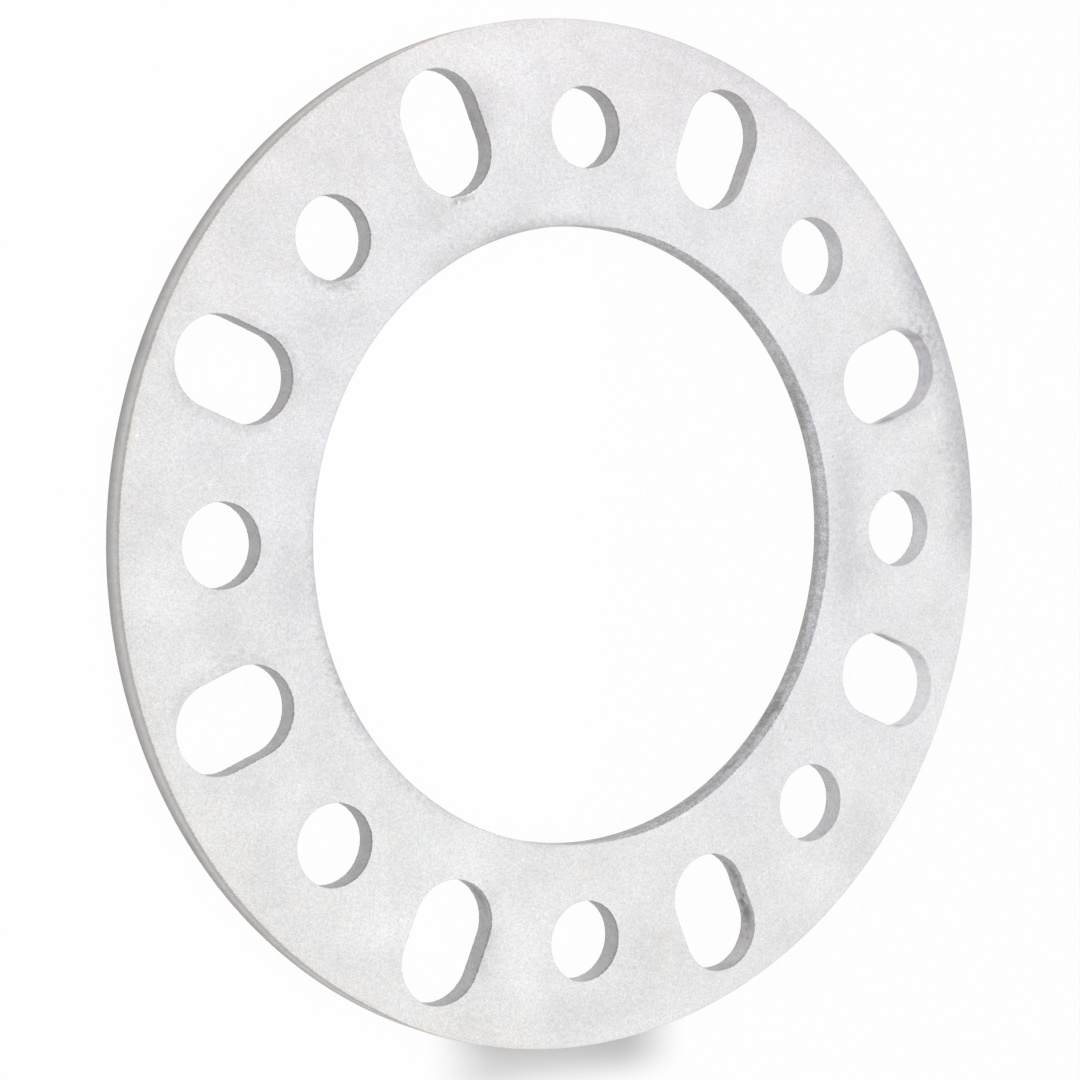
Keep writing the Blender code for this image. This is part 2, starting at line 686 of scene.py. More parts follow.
class BlastedLook:
    """The node groups that a blasted and handled metal surface is made of."""

    @staticmethod
    def grain() -> bpy.types.NodeTree:
        """Make the sandy grain that glass beads leave, and a mask for its few bright facets.

        Returns:
            The group, which puts out the grain's height and where its facets shine, which the
            finish paints as glints.
        """
        group = NewGroup("blast_grain", "Place:Vector, Grain Size, Patch Size", "Height, Glint")
        given = group.given
        fine_share, pit_share = 0.68, 0.26
        pit_scale, facet_scale = 2.4, 1.25
        sparse_limit, dense_limit, facet_edge = 0.62, 0.42, 0.22
        patch_zone = (-0.15, 0.45)
        place, size = given["Place"], given["Grain Size"]
        fine = group.noise(place, size, seed=1.0, detail=2.0)
        pitted = group.noise(place, group.times(size, pit_scale), seed=2.0)
        height = group.plus(group.times(fine, fine_share), group.times(pitted, pit_share))
        patch = group.ramp(group.noise(place, given["Patch Size"], seed=3.0), *patch_zone)
        facets = group.noise(place, group.times(size, facet_scale), seed=4.0)
        limit = group.blend(patch, sparse_limit, dense_limit)
        glint = group.ramp(facets, limit, group.plus(limit, facet_edge))
        return group.close(Height=height, Glint=glint)

    @staticmethod
    def gaps() -> bpy.types.NodeTree:
        """Make the group that tells how far the metal is from the ring's edges.

        Returns:
            The group, which puts out the gap to the nearest stud opening, to the bore and to the
            rim.
        """
        inputs = (
            "Place:Vector, Outer Radius, Bore Radius, Stud Radius, Hole Radius, Slot Radius, "
            "Slot Travel, Stud Count"
        )
        group = NewGroup("edge_gaps", inputs, "Opening, Bore, Rim")
        given = group.given
        x, y, _ = group.parts(given["Place"])
        radius = group.vector("LENGTH", group.join(x, y))
        pitch = group.math("DIVIDE", 2 * math.pi, given["Stud Count"])
        turn = group.math("DIVIDE", group.math("ARCTAN2", y, x), pitch)
        found = []
        openings = (
            (0.0, given["Hole Radius"], 0.0),
            (0.5, given["Slot Radius"], given["Slot Travel"]),
        )
        for shift, width, travel in openings:
            shifted = group.math("SUBTRACT", turn, shift)
            local = group.math("SUBTRACT", shifted, group.math("ROUND", shifted))
            local = group.times(local, pitch)
            out = group.times(radius, group.math("COSINE", local))
            out = group.math("SUBTRACT", out, given["Stud Radius"])
            out = group.math("SUBTRACT", out, group.math("MINIMUM", group.most(out, 0.0), travel))
            side = group.times(radius, group.math("SINE", local))
            away = group.vector("LENGTH", group.join(out, side))
            found.append(group.math("SUBTRACT", away, width))
        return group.close(
            Opening=group.math("MINIMUM", *found),
            Bore=group.math("SUBTRACT", radius, given["Bore Radius"]),
            Rim=group.math("SUBTRACT", given["Outer Radius"], radius),
        )

    @staticmethod
    def mark() -> bpy.types.NodeTree:
        """Make a soft oval mark with an uneven edge.

        Returns:
            The group, which puts out the mark's mask.
        """
        inputs = "Place:Vector, Centre:Vector, Reach:Vector, Spots, Unevenness"
        group = NewGroup("soft_mark", inputs, "Mask")
        given = group.given
        core = 1.18  # the mark's strength at its centre, before it is held to 1
        inverse = group.vector("DIVIDE", (1.0, 1.0, 1.0), given["Reach"])
        shift = group.vector("MULTIPLY", group.vector("SCALE", given["Centre"], -1.0), inverse)
        away = group.vector("MULTIPLY_ADD", given["Place"], inverse, shift)
        oval = group.vector("LENGTH", away)
        ragged = group.math("MULTIPLY_ADD", given["Spots"], given["Unevenness"], oval)
        return group.close(Mask=group.math("MULTIPLY_ADD", ragged, -core, core, clamp=True))

    @staticmethod
    def edge_stain() -> bpy.types.NodeTree:
        """Make a stain that hugs an edge and fades away from one place on it.

        Returns:
            The group, which puts out the stain's mask.
        """
        inputs = "Place:Vector, Centre:Vector, Window, Gap, Width, Spots, Unevenness"
        group = NewGroup("edge_stain", inputs, "Mask")
        given = group.given
        core, fading_from = 1.11, 0.5  # the strength at the edge, and the share of the window
        inward = group.math("DIVIDE", given["Gap"], given["Width"])
        ragged = group.math("MULTIPLY_ADD", given["Spots"], given["Unevenness"], inward)
        away = group.vector("DISTANCE", given["Place"], given["Centre"])
        near = group.fade(group.math("DIVIDE", away, given["Window"]), fading_from, 1.0)
        soft = group.math("MULTIPLY_ADD", ragged, -core, core, clamp=True)
        return group.close(Mask=group.times(soft, near))

    @staticmethod
    def scratch() -> bpy.types.NodeTree:
        """Make a thin bowed line between two spots that fades at its ends.

        Returns:
            The group, which puts out the line's mask.
        """
        inputs = "Place:Vector, Start:Vector, End:Vector, Width, Bow, Broken"
        group = NewGroup("scratch", inputs, "Mask")
        given = group.given
        core, tail = 0.3, 0.2
        flat = group.vector("MULTIPLY", given["Place"], (1.0, 1.0, 0.0))
        away = group.vector("SUBTRACT", flat, given["Start"])
        line = group.vector("SUBTRACT", given["End"], given["Start"])
        length = group.vector("LENGTH", line)
        heading = group.vector("NORMALIZE", line)
        side = group.vector("CROSS_PRODUCT", heading, (0.0, 0.0, 1.0))
        share = group.math("DIVIDE", group.vector("DOT_PRODUCT", away, heading), length)
        # The product of the two shares is a quarter at the middle, where the bow is full.
        bow = group.times(given["Bow"], share, group.without(share), 4.0)
        gap = group.math("SUBTRACT", group.vector("DOT_PRODUCT", away, side), bow)
        gap = group.math("ABSOLUTE", gap)
        thin = group.fade(gap, group.times(given["Width"], core), given["Width"])
        ends = group.times(group.ramp(share, 0.0, tail), group.fade(share, 1.0 - tail, 1.0))
        return group.close(Mask=group.times(thin, ends, given["Broken"]))


@dataclass(frozen=True)
class Mark:
    """A soft oval mark: its centre and its reach along, across and up, in mm, and its turn."""

    at: Place
    reach: Place
    strength: float
    unevenness: float = 0.5
    turn: float = 0.0


@dataclass(frozen=True)
class EdgeStain:
    """A stain that hugs one kind of edge, within a window round a place on it, in mm."""

    edge: Edge
    at: Place
    window: float
    width: float
    strength: float
    unevenness: float = 1.0
    stain: Stain = Stain.SMOKE


@dataclass(frozen=True)
class Scratch:
    """A fine bright scratch on the wheel face."""

    start: Spot
    end: Spot
    bow: float = 0.0
    width: float = 0.16 * MM


@dataclass(frozen=True)
class BlastedAluminium:
    """The ring's finish: a pale sandy face, and duller cut walls below its lips."""

    plan: RingPlan
    face: Colour = (0.8003, 0.7965, 0.8094, 1.0)
    inner_face: Colour = (0.7965, 0.795, 0.8163, 1.0)
    north_face: Colour = (0.808, 0.792, 0.807, 1.0)
    south_face: Colour = (0.80, 0.80, 0.802, 1.0)
    face_warm: Colour = (0.80, 0.775, 0.755, 1.0)
    opening_wall: Colour = (0.525, 0.515, 0.52, 1.0)
    # Painted light: lighter walls in the east of the ring
    east_wall: Colour = (0.64, 0.63, 0.65, 1.0)
    worn_wall: Colour = (0.765, 0.755, 0.775, 1.0)
    north_worn_wall: Colour = (0.71, 0.695, 0.715, 1.0)
    bore_wall: Colour = (0.475, 0.465, 0.462, 1.0)
    bore_band: Colour = (0.55, 0.55, 0.572, 1.0)
    bore_middle: Colour = (0.60, 0.60, 0.625, 1.0)
    rim_wall: Colour = (0.645, 0.628, 0.618, 1.0)
    rim_tan: Colour = (0.78, 0.74, 0.69, 1.0)
    bright: Colour = (0.96, 0.96, 0.97, 1.0)
    grain_size: float = 0.30 * MM
    patch_size: float = 16.0 * MM
    cloud_size: float = 15.0 * MM
    mottle_size: float = 3.4 * MM
    spot_size: float = 1.4 * MM
    fleck_size: float = 0.5 * MM
    warm_size: float = 9.0 * MM
    hue_size: float = 3.0 * MM
    streak_size: float = 1.1 * MM
    smear_size: float = 2.6 * MM
    # How far each zone goes, from its full strength to none, or from none to full
    rim_zone: Pair = mm(1.5, 3.0)
    bore_zone: Pair = mm(2.0, 4.0)
    worn_from: Pair = mm(66.7, 67.0)
    worn_beyond: Pair = mm(15.0, 17.0)
    north_zone: Pair = mm(20.0, 110.0)
    south_zone: Pair = mm(-75.0, -5.0)
    inner_zone: Pair = mm(4.0, 26.0)
    outer_zone: Pair = mm(3.0, 16.0)
    rim_line: Pair = mm(0.9, 1.6)
    foot_zone: Pair = mm(0.0, 0.7)
    notch_zone: Pair = mm(4.1, 4.65)
    band_zone: Pair = mm(2.8, 4.2)
    middle_zone: Pair = mm(54.0, 60.0)
    south_east_zone: Pair = mm(55.0, 105.0)
    worn_change: Pair = mm(-5.0, 5.0)
    lip_zone: Pair = (0.15, 0.95)
    lip_start: Pair = (0.0, 0.1)
    # The same, for how far a place lies to the east, from -1 to 1, and where a wall faces
    bore_seen_from: Pair = (-0.1, 0.3)
    rim_seen_to: Pair = (-0.5, -0.2)
    face_west: Pair = (-0.5, 0.3)
    wall_east: Pair = (0.3, 0.8)
    wall_west: Pair = (0.2, 0.8)
    notched_to: Pair = (0.1, 0.6)
    facing_west: Pair = (-0.5, 0.0)
    facing_south: Pair = (-1.0, -0.2)
    # The same, for a noise from -1 to 1
    warm_patches: Pair = (-0.1, 0.6)
    cloud_patches: Pair = (-0.3, 0.3)
    line_patches: Pair = (-0.5, 0.3)
    notches: Pair = (-0.6, 0.3)
    scratch_breaks: Pair = (-0.5, 0.1)
    # The face
    face_grain: float = 0.36
    face_clouds: float = 0.09
    face_mottling: Pair = (0.062, 0.03)
    face_spots: float = 0.015
    warm_share: float = 0.35
    outer_warm_share: float = 0.22
    rim_line_share: float = 0.75
    rim_line_wander: float = 0.25 * MM
    south_slope: float = 0.35
    hue_change: float = 0.012
    green_change: float = 0.006
    glint_share: float = 0.45
    # The walls, the second of two values for those that are turned or worn, or at the bore
    raggedness: Pair = (0.45, 0.18)
    wall_start: Pair = (0.4, 0.06)
    unseen_start: float = 0.85
    line_width: Pair = (0.15, 0.24)
    worn_line_width: float = 0.5
    # Painted shade: darker feet on the walls, where they meet the table, and a rim wall that grows
    # lighter from its foot up
    foot_tone: float = 0.78
    rim_foot_tone: float = 0.53
    rim_rise: float = 0.45
    rim_rise_height: float = 4.2 * MM
    streaks: float = 0.05
    streak_stretch: Place = (1.0, 1.0, 0.15)
    smears: Pair = (0.10, 0.14)
    smooth_smears: float = 0.05
    wall_spots: Pair = (0.03, 0.11)
    wall_grain: Pair = (0.46, 0.95)
    smooth_wall_grain: float = 0.24
    # Painted shade on opening walls that face south, in the west and in the south-east
    dulling: Pair = (0.1, 0.15)
    band_wander: float = 0.7 * MM
    band_rise: float = 1.0 * MM
    # Painted shade on the lips of the bore and the rim
    lip_tone: float = -0.1
    rim_lip_tone: float = -0.2
    edge_darkening: float = 0.24
    thickest: float = 0.9
    # The sheen
    roughness: float = 0.6
    roughness_change: float = 0.03
    wall_roughness: float = 0.06
    polish: float = 0.2
    bump_strength: float = 0.5
    bump_depth: float = 0.05 * MM
    # Lighter marks: rubbed metal, and painted light as glint patches, highlights on small burrs and
    # lighter walls in the east
    rubbed: tuple[Mark, ...] = (
        Mark((-49.8, -75.4, 5.0), (13.0, 8.0, 2.0), 0.28),
        Mark((-14.3, -86.0, 5.0), (11.0, 13.0, 2.0), 0.36),
        Mark((87.0, 21.6, 5.0), (15.0, 5.0, 2.0), 0.20, turn=0.35),
        Mark((-96.5, -8.0, 5.0), (6.0, 17.0, 2.0), 0.30),
        Mark((-73.4, 12.2, 5.0), (6.0, 15.0, 2.0), 0.20),
        Mark((76.4, 55.4, 5.0), (10.0, 8.0, 2.0), 0.20),
        Mark((42.7, 72.3, 5.0), (8.0, 9.0, 2.0), 0.18),
        Mark((91.5, -37.9, 2.5), (8.0, 8.0, 4.0), 0.40),
        Mark((66.6, 58.4, 2.5), (4.0, 6.0, 3.5), 0.22),
        Mark((48.1, 40.3, 2.5), (9.0, 9.0, 3.5), 0.20),
        Mark((0.0, 68.0, 5.0), (15.0, 6.5, 2.0), 0.20),
        Mark((-20.0, 96.0, 5.0), (46.0, 9.0, 2.0), 0.28, turn=0.1),
        Mark((-34.0, -68.0, 5.0), (24.0, 14.0, 2.0), 0.27),
        Mark((96.0, -25.0, 5.0), (6.0, 10.0, 2.0), 0.16),
        Mark((90.2, -3.0, 2.8), (8.0, 9.0, 6.0), 0.24, 0.3),
        Mark((40.8, -89.8, 3.0), (5.0, 4.0, 3.6), 0.22, 0.3),
        Mark((0.0, -90.8, 2.5), (9.0, 6.0, 6.0), 0.20, 0.3),
        Mark((-26.8, 68.3, 5.0), (0.45, 0.35, 0.5), 1.0, 0.2),
        Mark((-27.9, 67.8, 5.0), (0.35, 0.3, 0.5), 0.9, 0.2),
        Mark((-30.1, 66.1, 5.0), (0.4, 0.6, 0.5), 1.0, 0.2),
        Mark((-70.9, 40.2, 5.0), (0.4, 0.3, 0.5), 0.9, 0.2),
        Mark((69.8, -46.7, 5.0), (10.0, 10.0, 2.0), 0.14),
        Mark((-16.4, 82.4, 5.0), (9.0, 10.0, 2.0), 0.14),
        Mark((38.6, -50.2, 5.0), (1.2, 0.35, 0.6), 0.80, 0.4, 0.66),
        Mark((25.1, -58.5, 5.0), (1.6, 0.35, 0.6), 0.80, 0.4, 0.40),
    )
    grime: tuple[Mark, ...] = (
        Mark((-35.0, 64.2, 5.0), (9.0, 5.0, 2.0), 0.16, 0.6, 0.5),
        Mark((-25.0, -70.4, 2.8), (4.0, 4.0, 2.2), 0.45, 0.4),
        Mark((-87.6, -56.6, 2.0), (5.0, 5.0, 1.8), 0.34, 0.4),
        Mark((-29.2, 66.9, 5.0), (3.2, 1.3, 1.2), 0.40, 0.8, 0.45),
        Mark((-57.2, 49.2, 5.0), (4.6, 1.6, 1.0), 0.24, 0.9),
        Mark((50.1, -37.4, 3.5), (2.6, 3.2, 1.3), 0.45, 0.9),
        Mark((31.6, -54.4, 2.2), (3.4, 2.4, 1.3), 0.40, 0.9),
        Mark((27.7, -56.7, 2.4), (2.6, 2.0, 1.3), 0.45, 0.9),
        Mark((22.3, -58.6, 2.5), (3.0, 2.0, 1.3), 0.40, 0.9),
    )
    soot: tuple[Mark, ...] = (
        Mark((-23.6, -72.0, 2.8), (5.0, 6.0, 3.4), 0.34, 0.3),
        Mark((-24.7, 83.1, 1.5), (7.0, 13.0, 5.0), 0.30, 0.3),
        Mark((42.7, -80.4, 2.4), (3.4, 4.8, 2.1), 0.75, 0.8),
        Mark((39.4, -73.0, 2.5), (4.0, 6.0, 2.1), 0.62, 0.8),
        Mark((43.4, -86.5, 3.0), (0.9, 0.9, 0.9), 0.9, 0.3),
        Mark((82.0, -24.4, 2.4), (5.5, 1.8, 2.4), 0.60, 0.3, -0.39),
        Mark((84.4, -44.0, 2.8), (2.2, 1.2, 2.4), 0.60, 0.4),
        Mark((49.2, -38.9, 2.0), (7.0, 8.0, 3.2), 0.46, 0.5),
        Mark((56.9, 26.5, 2.0), (5.0, 7.0, 3.4), 0.34, 0.5),
        Mark((80.2, 23.4, 3.0), (3.6, 2.2, 2.2), 0.50, 0.4),
        Mark((38.7, -49.4, 2.3), (1.6, 1.6, 1.2), 0.60, 0.9),
    )
    smoke: tuple[Mark, ...] = (
        Mark((-87.5, 16.0, 5.0), (8.0, 6.0, 2.0), 0.13),
        Mark((-69.0, 77.0, 5.0), (7.0, 4.5, 2.0), 0.14, turn=0.8),
        Mark((67.5, 0.0, 5.0), (6.5, 26.0, 2.0), 0.29, 0.4),
        Mark((-67.0, -9.0, 5.0), (6.5, 15.0, 2.0), 0.14, 0.5),
        Mark((36.0, -58.0, 5.0), (10.0, 8.0, 2.0), 0.14),
        Mark((72.0, -69.0, 5.0), (11.0, 11.0, 2.0), 0.11),
        Mark((-61.0, 43.0, 5.0), (12.0, 9.0, 2.0), 0.10),
        Mark((85.0, 25.6, 3.4), (9.0, 4.0, 4.5), 0.30, 0.2),
        Mark((-97.4, 37.0, 3.2), (4.0, 4.2, 3.4), 0.34, 0.2),
        Mark((-82.4, -16.4, 5.0), (7.0, 8.0, 2.0), 0.13),
        Mark((0.0, -97.5, 5.0), (16.0, 7.0, 2.0), 0.13),
        Mark((64.1, 15.7, 5.0), (0.4, 0.35, 1.0), 0.45, 0.2),
        Mark((52.8, -44.5, 5.0), (0.45, 0.35, 1.0), 0.60, 0.2),
        Mark((-102.4, 8.3, 5.0), (0.5, 0.4, 1.0), 0.30, 0.2),
        Mark((38.9, -91.5, 2.5), (2.0, 1.2, 1.4), 0.45, 0.7),
        Mark((66.5, -56.0, 1.0), (0.8, 0.8, 0.6), 0.60, 0.4),
        Mark((67.2, -58.1, 4.2), (0.6, 0.6, 0.5), 0.55, 0.4),
        Mark((90.3, -28.6, 3.5), (0.7, 0.7, 0.7), 0.60, 0.4),
        Mark((88.6, 42.2, 3.0), (3.0, 2.0, 2.6), 0.35, 0.6),
        Mark((43.1, -45.5, 2.4), (3.4, 3.4, 1.6), 0.46, 0.9),
    )
    edge_stains: tuple[EdgeStain, ...] = (
        EdgeStain(Edge.RIM, (98.0, 30.0, 5.0), 46.0, 9.0, 0.57, 0.5),
        EdgeStain(Edge.RIM, (60.0, 83.0, 5.0), 60.0, 3.5, 0.20, 0.5),
        EdgeStain(Edge.BORE, (-11.3, 65.0, 5.0), 19.0, 2.6, 0.42, 0.6),
        EdgeStain(Edge.BORE, (-26.0, 58.0, 5.0), 18.0, 5.0, 0.22, 0.6, stain=Stain.GRIME),
        EdgeStain(Edge.BORE, (-62.0, -14.0, 5.0), 34.0, 2.4, 0.28),
        EdgeStain(Edge.BORE, (-50.0, -40.0, 5.0), 30.0, 2.6, 0.26),
        EdgeStain(Edge.OPENING, (-57.6, 48.8, 5.0), 8.0, 2.4, 0.30),
        EdgeStain(Edge.OPENING, (88.0, 27.0, 5.0), 14.0, 0.8, 0.12, 0.4),
        EdgeStain(Edge.OPENING, (-85.0, 24.0, 5.0), 17.0, 2.6, 0.24),
        EdgeStain(Edge.OPENING, (-84.0, -22.5, 5.0), 17.0, 3.4, 0.24),
        EdgeStain(Edge.OPENING, (-21.2, -82.8, 5.0), 7.0, 3.0, 0.24),
        EdgeStain(Edge.OPENING, (-66.0, 40.0, 5.0), 18.0, 2.4, 0.18),
        EdgeStain(Edge.OPENING, (88.0, 46.0, 5.0), 12.0, 3.0, 0.20),
    )
    scratches: tuple[Scratch, ...] = (
        Scratch(mm(-76.2, 18.1), mm(-78.3, 15.1), 0.3 * MM),
        Scratch(mm(-100.5, 20.4), mm(-99.4, 20.9), 0.0, 0.25 * MM),
    )

    def material(self) -> bpy.types.Material:
        """Make the finish.

        Returns:
            The ring's material.
        """
        made = bpy.data.materials.new("blasted_aluminium_finish")
        made.use_nodes = True
        shader = made.node_tree.nodes["Principled BSDF"]
        layers = FinishLayers(made.node_tree, self)
        is_wall = layers.wall_mask()
        on_face = layers.without(is_wall)
        colour = layers.stained(layers.mix(is_wall, layers.face_colour(), layers.wall_colour()))
        tone = layers.blend(is_wall, layers.face_tone(), layers.wall_tone())
        # Painted highlights: the grain's glints are a lighter colour with less roughness; the
        # scratches, done the same way, are wear.
        painted_glints_and_scratches = layers.most(
            layers.times(layers.glint, on_face, self.glint_share),
            layers.times(layers.scratch_mask(), on_face),
        )
        colour = layers.mix(painted_glints_and_scratches, layers.vector("SCALE", colour, tone), self.bright)
        layers.feed(shader.inputs["Base Color"], colour)
        shader.inputs["Metallic"].default_value = 1.0
        rough = layers.plus(
            self.roughness,
            layers.times(layers.cloud, self.roughness_change),
            layers.times(layers.mottle, self.roughness_change),
            layers.times(is_wall, self.wall_roughness),
            layers.times(painted_glints_and_scratches, -self.polish),
        )
        layers.feed(shader.inputs["Roughness"], rough)
        values = {"Strength": self.bump_strength, "Distance": self.bump_depth}
        bump = layers.node("ShaderNodeBump", {"Height": layers.grain, **values})
        layers.feed(shader.inputs["Normal"], bump.outputs[0])
        return made


class FinishLayers(Tree):
    """The finish's tree: the readings that its layers share, and a method for each layer."""

    def __init__(self, tree: bpy.types.NodeTree, finish: BlastedAluminium) -> None:
        """Read the places, the gaps to the edges and the shared noises.

        Args:
            tree: The material's tree.
            finish: The finish's values.
        """
        super().__init__(tree)
        self.finish = finish
        self.place = self.node("ShaderNodeTexCoord").outputs["Object"]
        self.x, self.y, self.height = self.parts(self.place)
        radius = self.vector("LENGTH", self.join(self.x, self.y))
        self.east = self.math("DIVIDE", self.x, radius)
        facing = self.parts(self.node("ShaderNodeNewGeometry").outputs["Normal"])
        self.toward_west = self.fade(facing[0], *finish.facing_west)
        self.toward_south = self.fade(facing[1], *finish.facing_south)
        self.reach = self.node("ShaderNodeAttribute", attribute_name=WALL_ATTRIBUTE).outputs["Fac"]
        sizes = {name.title(): float(size) for name, size in asdict(finish.plan).items()}
        del sizes["Thickness"]
        gaps = self.group(BlastedLook.gaps(), Place=self.place, **sizes)
        self.gap = {edge: gaps[edge.value] for edge in Edge}
        self.at_rim = self.fade(self.gap[Edge.RIM], *finish.rim_zone)
        self.at_bore = self.fade(self.gap[Edge.BORE], *finish.bore_zone)
        self.turned = self.most(self.at_rim, self.at_bore)
        worn_side = self.ramp(self.math("ABSOLUTE", self.y), *finish.worn_beyond)
        self.worn = self.times(self.ramp(self.x, *finish.worn_from), worn_side)
        self.cloud = self.noise(self.place, finish.cloud_size, seed=11.0)
        self.mottle = self.noise(self.place, finish.mottle_size, seed=12.0)
        self.spots = self.noise(self.place, finish.spot_size, seed=5.0)
        self.flecks = self.noise(self.place, finish.fleck_size, seed=13.0)
        self.grain, self.glint = self.group(
            BlastedLook.grain(),
            Place=self.place,
            Grain_Size=finish.grain_size,
            Patch_Size=finish.patch_size,
        )

    def wall_mask(self) -> Socket:
        """Tell the cut walls from the face, with the ragged line that blasting leaves.

        Returns:
            1 on the walls and 0 on the face.
        """
        finish = self.finish
        bore_seen = self.ramp(self.east, *finish.bore_seen_from)
        rim_seen = self.fade(self.east, *finish.rim_seen_to)
        seen = self.blend(self.at_bore, self.toward_west, bore_seen)
        seen = self.blend(self.at_rim, seen, rim_seen)
        on_lip = self.ramp(self.reach, *finish.lip_start)
        ragged = self.blend(self.most(self.turned, self.worn), *finish.raggedness)
        reach = self.plus(self.reach, self.times(self.flecks, seen, on_lip, ragged))
        start = self.blend(self.turned, *finish.wall_start)
        low = self.blend(seen, finish.unseen_start, start)
        width = self.blend(self.worn, finish.line_width[0], finish.worn_line_width)
        width = self.blend(self.turned, width, finish.line_width[1])
        return self.ramp(reach, low, self.plus(low, width))

    def face_colour(self) -> Socket:
        """Pick the blasted face's colour, with its faint warm and cool patches.

        Returns:
            The face's colour.
        """
        finish = self.finish
        colour = self.mix(self.ramp(self.y, *finish.north_zone), finish.face, finish.north_face)
        inner = self.fade(self.gap[Edge.BORE], *finish.inner_zone)
        colour = self.mix(inner, colour, finish.inner_face)
        across = self.math("MULTIPLY_ADD", self.x, finish.south_slope, self.y)
        colour = self.mix(self.fade(across, *finish.south_zone), colour, finish.south_face)
        west = self.fade(self.east, *finish.face_west)
        outer = self.times(self.fade(self.gap[Edge.RIM], *finish.outer_zone), west)
        warm = self.noise(self.place, finish.warm_size, seed=21.0)
        warm = self.ramp(warm, *finish.warm_patches)
        for zone, share in ((outer, finish.outer_warm_share), (warm, finish.warm_share)):
            colour = self.mix(self.times(zone, share), colour, finish.face_warm)
        hue = self.noise(self.place, finish.hue_size, seed=22.0)
        tint = self.join(
            self.math("MULTIPLY_ADD", hue, finish.hue_change, 1.0),
            self.math("MULTIPLY_ADD", self.spots, finish.green_change, 1.0),
            self.math("MULTIPLY_ADD", hue, -finish.hue_change, 1.0),
        )
        colour = self.vector("MULTIPLY", colour, tint)
        gap = self.plus(self.gap[Edge.RIM], self.times(self.flecks, finish.rim_line_wander))
        line = self.times(self.fade(gap, *finish.rim_line), west)
        patchy = self.ramp(self.mottle, *finish.line_patches)
        return self.mix(self.times(line, patchy, finish.rim_line_share), colour, finish.rim_tan)

    def face_tone(self) -> Socket:
        """Work out how light the face is, with its grain and clouds.

        Returns:
            A factor for the face's colour.
        """
        finish = self.finish
        blotch = self.ramp(self.cloud, *finish.cloud_patches)
        return self.plus(
            1.0,
            self.times(self.grain, finish.face_grain),
            self.times(self.cloud, finish.face_clouds),
            self.times(self.mottle, self.blend(blotch, *finish.face_mottling)),
            self.times(self.spots, finish.face_spots),
        )

    def wall_colour(self) -> Socket:
        """Pick the cut walls' colour by what they bound.

        Returns:
            The walls' colour.
        """
        finish = self.finish
        # Painted light: the walls grow lighter towards the east of the ring.
        east = self.ramp(self.east, *finish.wall_east)
        colour = self.mix(east, finish.opening_wall, finish.east_wall)
        north = self.ramp(self.y, *finish.worn_change)
        worn_wall = self.mix(north, finish.worn_wall, finish.north_worn_wall)
        colour = self.mix(self.worn, colour, worn_wall)
        middle = self.ramp(self.x, *finish.middle_zone)
        level = self.math("MULTIPLY_ADD", self.spots, finish.band_wander, self.height)
        level = self.math("MULTIPLY_ADD", middle, finish.band_rise, level)
        band = self.mix(middle, finish.bore_band, finish.bore_middle)
        bore = self.mix(self.ramp(level, *finish.band_zone), finish.bore_wall, band)
        return self.mix(self.at_rim, self.mix(self.at_bore, colour, bore), finish.rim_wall)

    def wall_tone(self) -> Socket:
        """Work out how light the walls are, with their smears and grain, and with painted shade: at
        their feet, up the rim wall, on the lips of the rim and the bore, and on opening walls that
        face south.

        Returns:
            A factor for the walls' colour.
        """
        finish = self.finish
        cut = self.without(self.turned)
        smooth = self.most(self.at_rim, self.worn)
        upright = self.vector("MULTIPLY", self.place, finish.streak_stretch)
        streak = self.noise(upright, finish.streak_size, seed=31.0)
        smear = self.noise(self.place, finish.smear_size, seed=32.0)
        smeared = self.blend(self.at_bore, *finish.smears)
        grainy = self.blend(smooth, finish.wall_grain[0], finish.smooth_wall_grain)
        # Painted shade: darker at the walls' feet, and on the rim wall from its foot up.
        foot = self.blend(self.ramp(self.height, *finish.foot_zone), finish.foot_tone, 1.0)
        rise = self.math("DIVIDE", self.height, finish.rim_rise_height, clamp=True)
        rise = self.math("MULTIPLY_ADD", rise, finish.rim_rise, finish.rim_foot_tone)
        # Painted shade on opening walls that face south, away from the top softbox.
        west = self.times(self.fade(self.east, *finish.wall_west), finish.dulling[0])
        down = self.ramp(self.math("SUBTRACT", self.x, self.y), *finish.south_east_zone)
        ends = self.blend(down, west, finish.dulling[1])
        # Painted shade on the lips of the rim and the bore, against the light that they catch as
        # they turn up.
        rim_lip = self.times(self.at_rim, finish.rim_lip_tone)
        lip = self.blend(self.at_bore, rim_lip, finish.lip_tone)
        notched = self.times(
            self.ramp(self.height, *finish.notch_zone),
            self.ramp(self.flecks, *finish.notches),
            self.toward_west,
            cut,
            self.fade(self.east, *finish.notched_to),
        )
        return self.times(
            self.plus(
                self.blend(self.at_rim, foot, rise),
                self.times(streak, finish.streaks),
                self.times(smear, self.blend(smooth, smeared, finish.smooth_smears)),
                self.times(self.spots, self.blend(self.at_bore, *finish.wall_spots)),
                self.times(self.grain, self.blend(self.at_bore, grainy, finish.wall_grain[1])),
            ),
            self.plus(
                1.0,
                self.times(self.toward_south, cut, ends, -1.0),
                self.times(self.fade(self.reach, *finish.lip_zone), lip),
            ),
            self.math("MULTIPLY_ADD", notched, -finish.edge_darkening, 1.0),
        )

